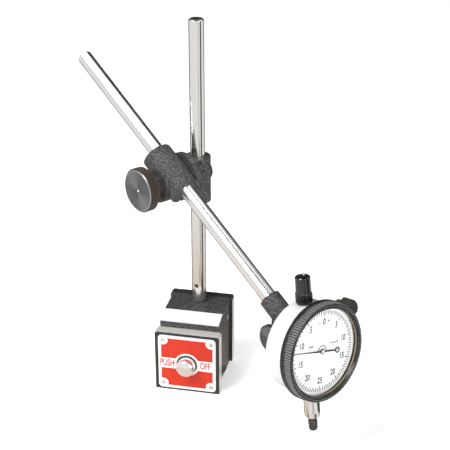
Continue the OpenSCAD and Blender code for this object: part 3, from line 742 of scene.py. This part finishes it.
def label_field():
    """The red field: round the pins, the band and the button it is cut back to the white plate."""
    field = block(
        (label_w - 2 * FIELD_INSET, PRINT_T, label_h - 2 * FIELD_INSET),
        (label_x, label_face_y - PRINT_T / 2, label_z),
    )
    deep = 4 * PRINT_T
    cutters = [block((label_w, deep, BAND_H), (label_x, label_face_y, button_z))]
    cutters.append(bar(RING_R, deep, (0, label_face_y, button_z), (0, 1, 0), 96))
    for x in (pin_low.x + PIN_R, pin_high.x - PIN_R):
        for z in (pin_low.z + PIN_R, pin_high.z - PIN_R):
            cutters.append(bar(CORNER_R, deep, (x, label_face_y, z), (0, 1, 0), 48))
    settle(cut(field, cutters), "label_red_field", "base", LABEL_RED)


def label_words():
    """PUSH and OFF on the white band, either side of the button."""
    right, up, out = Vector((1, 0, 0)), Vector((0, 0, 1)), Vector((0, -1, 0))
    facing = frame_matrix(Vector((0, 0, 0)), right, up, out)
    words = []
    for body, x in (("PUSH", -13.4 * MM), ("OFF", 12.4 * MM)):
        place = Matrix.Translation((x, label_face_y, button_z)) @ facing
        words.append(lettering(body, WORD_SIZE, place, PRINT_T, WORD_STRETCH, WORD_OFFSET))
    settle(join(*words), "label_words", "base", LABEL_RED)


label_field()
label_words()

# ---------------------------------------------------------------- side screw

SCREW_Z = 38.6 * MM
RIM_OUT_R = 2.4 * MM
RIM_IN_R = 1.8 * MM
SCREW_R = 1.75 * MM
SOCKET_R = 0.9 * MM
THROUGH = 1 * MM


def side_screw():
    """The socket set screw that holds the post, in the housing's right side, painted near white as
    its highlight, with a dark ring round it as painted shade in its recess.
    """
    middle = Vector((body_high.x, 0, SCREW_Z))
    across = Vector((1, 0, 0))
    shade_ring = bar(RIM_OUT_R, 0.3 * MM, middle, across, 48)
    shade_ring = cut(shade_ring, [bar(RIM_IN_R, THROUGH, middle, across, 48)])
    # A black ring round the screw: painted shade in its recess
    dark = mottled("painted recess shade", grey(0.004), grey(0.01), (0.5, 0.7), 0.0)
    settle(bevelled(shade_ring, 0.1 * MM), "side_screw_shade_ring", "base", dark)
    screw = bar(SCREW_R, 0.2 * MM, middle, across, 48)
    screw = cut(screw, [bar(SOCKET_R, THROUGH, middle, across, 6)])
    # The screw is painted near white: a painted highlight, not the steel's own colour
    steel = mottled("set screw painted highlight", grey(0.95), grey(0.8), (0.2, 0.35), 0.1)
    settle(bevelled(screw, 0.05 * MM), "side_screw", "base", steel)


side_screw()

# ---------------------------------------------------------------- dial print

INK = mottled("dial ink", grey(0.012), grey(0.02), (0.5, 0.6), 0.0, strength=0.03)
dial_face_co = [DIAL.inverted() @ v.co for v in frame["nodes"]["dial_face"].data.vertices]
dial_z = max(p.z for p in dial_face_co)
INK_T = 0.03 * MM
TICK_OUT = 24.2 * MM
FIGURE_REACH = 17.6 * MM
FIGURE_SIZE = 5.2 * MM
FIGURE_OFFSET = 0.14 * MM
SMALL_OFFSET = 0.05 * MM
ARC_R = (3.05 * MM, 3.6 * MM)
# The print stands a little clockwise of the stem, as the bezel was left turned
PRINT_TURN = math.radians(-11)
PRINT_FRAME = DIAL @ Matrix.Rotation(PRINT_TURN, 4, "Z")


def on_dial(x, y, turn=0.0):
    """A frame on the print, x to the right and y up, turned clockwise by turn degrees."""
    place = PRINT_FRAME @ Matrix.Translation((x, y, dial_z))
    return place @ Matrix.Rotation(math.radians(-turn), 4, "Z")


def ticks(count, length, width, first):
    """Marks round the rim: one is made, then spun round the dial's centre in edit mode."""
    mark = block((width, length, 2 * INK_T), (0, 0, 0))
    mark.matrix_world = on_dial(0, 0, first) @ Matrix.Translation((0, TICK_OUT - length / 2, 0))
    pick(mark)
    bpy.ops.object.transform_apply(location=True, rotation=True, scale=True)
    bpy.ops.object.mode_set(mode="EDIT")
    bpy.ops.mesh.select_all(action="SELECT")
    bpy.ops.mesh.spin(
        steps=count - 1, dupli=True, angle=math.radians(360 * (count - 1) / count),
        center=dial_centre, axis=dial_out,
    )
    bpy.ops.object.mode_set(mode="OBJECT")
    return mark


def dial_ticks():
    marks = join(
        ticks(50, 1.9 * MM, 0.52 * MM, 3.6),
        ticks(50, 2.6 * MM, 0.54 * MM, 0.0),
        ticks(10, 3.3 * MM, 0.62 * MM, 0.0),
    )
    settle(marks, "dial_ticks", "bezel", INK)


def dial_numerals():
    """A balanced scale: 0 at the top, 5 to 20 down both sides and 25 at the bottom."""
    top = on_dial(0, FIGURE_REACH)
    figures = [lettering("0", FIGURE_SIZE, top, INK_T, 0.8, FIGURE_OFFSET)]
    for step, body in enumerate(("5", "10", "15", "20"), 1):
        for side in (1, -1):
            a = math.radians(36 * step * side)
            place = on_dial(FIGURE_REACH * math.sin(a), FIGURE_REACH * math.cos(a))
            figures.append(lettering(body, FIGURE_SIZE, place, INK_T, 0.76, FIGURE_OFFSET))
    bottom = on_dial(0, -FIGURE_REACH)
    figures.append(lettering("25", FIGURE_SIZE, bottom, INK_T, 0.76, FIGURE_OFFSET))
    for body, size, x, y in (
        ("-", 4.8 * MM, -3.6 * MM, FIGURE_REACH),
        ("+", 3.8 * MM, 3.7 * MM, FIGURE_REACH),
        (".0005", 1.9 * MM, -9.2 * MM, 3.9 * MM),
        ("1/8 RANGE", 1.5 * MM, 9.2 * MM, 3.9 * MM),
    ):
        figures.append(lettering(body, size, on_dial(x, y), INK_T, 1.0, SMALL_OFFSET))
    settle(join(*figures), "dial_numerals", "bezel", INK)


def dial_arc():
    """The printed arc over the hub."""
    middle = on_dial(0, 0).translation
    inner_r, outer_r = ARC_R
    arc = bar(outer_r, 2 * INK_T, middle, dial_out, 64)
    inside = bar(inner_r, 6 * INK_T, middle, dial_out, 64)
    below = block((9 * MM, 9 * MM, 6 * INK_T), (0, 0, 0))
    below.matrix_world = on_dial(0, -4 * MM)
    settle(cut(arc, [inside, below]), "dial_arc", "bezel", INK)


def hub_cap():
    """The bright cap on the hand's hub, just under the crystal."""
    middle = DIAL @ Vector((0, 0, -0.28 * MM))
    cap = bevelled(bar(1.2 * MM, 0.28 * MM, middle, dial_out, 48), 0.08 * MM)
    metal = mottled("hub metal", grey(0.9), grey(0.8), (0.2, 0.35), 0.2, strength=0.05)
    settle(cap, "hub_cap", "hand", metal)


dial_ticks()
dial_numerals()
dial_arc()
hub_cap()

# ---------------------------------------------------------------- floor, light and camera

GLOW_NEAR, GLOW_FAR = 0.42, 0.9
RAYS = ("camera", "diffuse", "glossy", "transmission", "volume_scatter", "shadow")
# Dark wedges that polished metal mirrors: bearing from the camera, half width, tone
POST_WEDGES = ((63, 9, 0.02), (23, 3, 0.55))
STEM_WEDGES = ((50, 14, 0.05), (-62, 10, 0.3))
WEDGE_EDGE = 5  # degrees over which a wedge fades
STEM_PATCH_R = (70 * MM, 80 * MM)  # round the stem's foot, where its own wedges hold
camera_place = (0.154844, -0.646934, 0.415915)
camera_look = (-0.1877, 0.8866, -0.4226)


def floor_sheet(name, height):
    """A wide level sheet."""
    deselect()
    bpy.ops.mesh.primitive_plane_add(size=12, location=(0, 0, height))
    bpy.context.object.name = name
    return bpy.context.object


def round_wall(name, radius, depth, height):
    """An open tube round the whole scene, its middle at that height."""
    deselect()
    bpy.ops.mesh.primitive_cylinder_add(
        vertices=96, radius=radius, depth=depth, end_fill_type="NOTHING", location=(0, 0, height)
    )
    bpy.context.object.name = name
    return bpy.context.object


def only_glows(sheet, shader, colour):
    """A finish that gives off its colour and takes no light."""
    shader.inputs["Base Color"].default_value = (0, 0, 0, 1)
    shader.inputs["Specular IOR Level"].default_value = 0.0
    sheet.feed(shader.inputs["Emission Color"], colour)
    shader.inputs["Emission Strength"].default_value = 1.0


def seen_only_by(ray, card):
    """Hides a card from every ray but one: glossy is what polished metal sees."""
    for other in RAYS:
        setattr(card, "visible_" + other, other == ray)


def studio_floor():
    """A pale floor that glows more far off, so that it does not fall into the dark."""
    floor = floor_sheet("studio_floor", -0.2 * MM)
    material, sheet, shader, where = new_finish("pale floor")
    marks = sheet.effect(MARKS, {"Vector": where, "Patch": 2.0, "Fine": 40.0})
    tone = sheet.mix(marks["Patches"], grey(0.90), grey(0.92))
    sheet.feed(shader.inputs["Base Color"], tone)
    sheet.feed(shader.inputs["Emission Color"], tone)
    away = sheet.add("ShaderNodeVectorMath", {0: where}, operation="LENGTH").outputs["Value"]
    glow = sheet.spread(away, 0.4, 2.2, GLOW_NEAR, GLOW_FAR)
    sheet.feed(shader.inputs["Emission Strength"], glow)
    shader.inputs["Roughness"].default_value = 0.9
    shader.inputs["Specular IOR Level"].default_value = 0.0
    floor.data.materials.append(material)
    floor.visible_glossy = False


def sector_tone(sheet, parts, foot, wedges):
    """The tone round an upright rod's foot: dark behind the rod, and dark wedges."""
    east = sheet.math("SUBTRACT", parts[0], foot[0])
    south = sheet.math("SUBTRACT", foot[1], parts[1])
    angle = sheet.math("ARCTAN2", east, south)
    facing = math.atan2(camera_place[0] - foot[0], foot[1] - camera_place[1])
    turned = sheet.math("SUBTRACT", angle, facing)
    turned = sheet.math("ARCTAN2", sheet.math("SINE", turned), sheet.math("COSINE", turned))
    aside = sheet.math("ABSOLUTE", turned)
    tone = sheet.spread(aside, math.radians(116), math.radians(140), 1, 0.04)
    for bearing, half, dark in wedges:
        off = sheet.math("ABSOLUTE", sheet.math("SUBTRACT", turned, math.radians(bearing)))
        fade = math.radians(half + WEDGE_EDGE)
        edge = sheet.spread(off, math.radians(half), fade, dark, 1.0)
        tone = sheet.math("MULTIPLY", tone, edge)
    return tone


def mirror_card():
    """A card on the floor that only polished metal sees, with wedges round both upright rods."""
    card = floor_sheet("mirror_card", -0.1 * MM)
    material, sheet, shader, where = new_finish("mirror card")
    parts = sheet.axis_parts(where)
    post_foot = (0.0, 0.0)
    stem_foot = (SPINDLE.translation - dial_up * (SPINDLE.translation.z / dial_up.z))[:2]
    post_tone = sector_tone(sheet, parts, post_foot, POST_WEDGES)
    stem_tone = sector_tone(sheet, parts, stem_foot, STEM_WEDGES)
    near_stem = sheet.spread(sheet.distance(parts, stem_foot), *STEM_PATCH_R, 1.0, 0.0)
    tone = sheet.blend(near_stem, post_tone, stem_tone)
    warm = sheet.spread(sheet.distance(parts, post_foot), 0.12, 0.24, 1.0, 0.0)
    pale = sheet.mix(warm, grey(0.95), (0.84, 0.74, 0.64, 1))
    only_glows(sheet, shader, sheet.mix(tone, grey(0.0), pale))
    card.data.materials.append(material)
    seen_only_by("glossy", card)


def mirror_wall():
    """The studio's pale wall, which only polished metal sees, with the post's wedges."""
    wall = round_wall("mirror_wall", radius=2.5, depth=5, height=2.4)
    material, sheet, shader, where = new_finish("mirror wall")
    tone = sector_tone(sheet, sheet.axis_parts(where), (0.0, 0.0), POST_WEDGES)
    only_glows(sheet, shader, sheet.mix(tone, grey(0.0), grey(0.85)))
    wall.data.materials.append(material)
    seen_only_by("glossy", wall)


def backdrop():
    """A pale wall far off that only the camera sees, so no view ends in the dark."""
    wall = round_wall("backdrop", radius=5.8, depth=12, height=5.9)
    material, sheet, shader, where = new_finish("backdrop")
    marks = sheet.effect(MARKS, {"Vector": where, "Patch": 0.3, "Fine": 4.0})
    only_glows(sheet, shader, sheet.mix(marks["Patches"], grey(0.93), grey(0.95)))
    wall.data.materials.append(material)
    seen_only_by("camera", wall)


def area_light(name, location, target, size, power):
    light = bpy.data.lights.new(name, "AREA")
    light.shape = "RECTANGLE"
    light.size, light.size_y = size
    light.energy = power
    lamp = bpy.data.objects.new(name, light)
    bpy.context.scene.collection.objects.link(lamp)
    lamp.location = location
    lamp.rotation_euler = (Vector(target) - Vector(location)).to_track_quat("-Z", "Y").to_euler()
    return lamp


def studio():
    world = bpy.data.worlds.new("studio")
    bpy.context.scene.world = world
    world.use_nodes = True
    background = world.node_tree.nodes["Background"]
    background.inputs["Color"].default_value = (1, 1, 1, 1)
    background.inputs["Strength"].default_value = 0.18
    middle = (0.05, -0.02, 0.1)
    area_light("key", (-0.5, -0.7, 1.2), middle, (0.6, 0.6), 20)
    area_light("fill", (1.0, -0.9, 0.55), middle, (0.7, 0.9), 11)
    area_light("top", (0.0, 0.2, 1.4), middle, (1.0, 0.6), 4)


studio_floor()
mirror_card()
mirror_wall()
backdrop()
studio()

# The camera looks 25 degrees down, from 12 degrees to the right of the label
camera_data = bpy.data.cameras.new("camera")
camera = bpy.data.objects.new("camera", camera_data)
bpy.context.scene.collection.objects.link(camera)
camera.location = camera_place
camera.rotation_euler = Vector(camera_look).to_track_quat("-Z", "Y").to_euler()
camera_data.sensor_width = 36
camera_data.lens = 89.162
camera_data.clip_start = 0.01
bpy.context.scene.camera = camera
bpy.context.scene.view_settings.view_transform = "Standard"
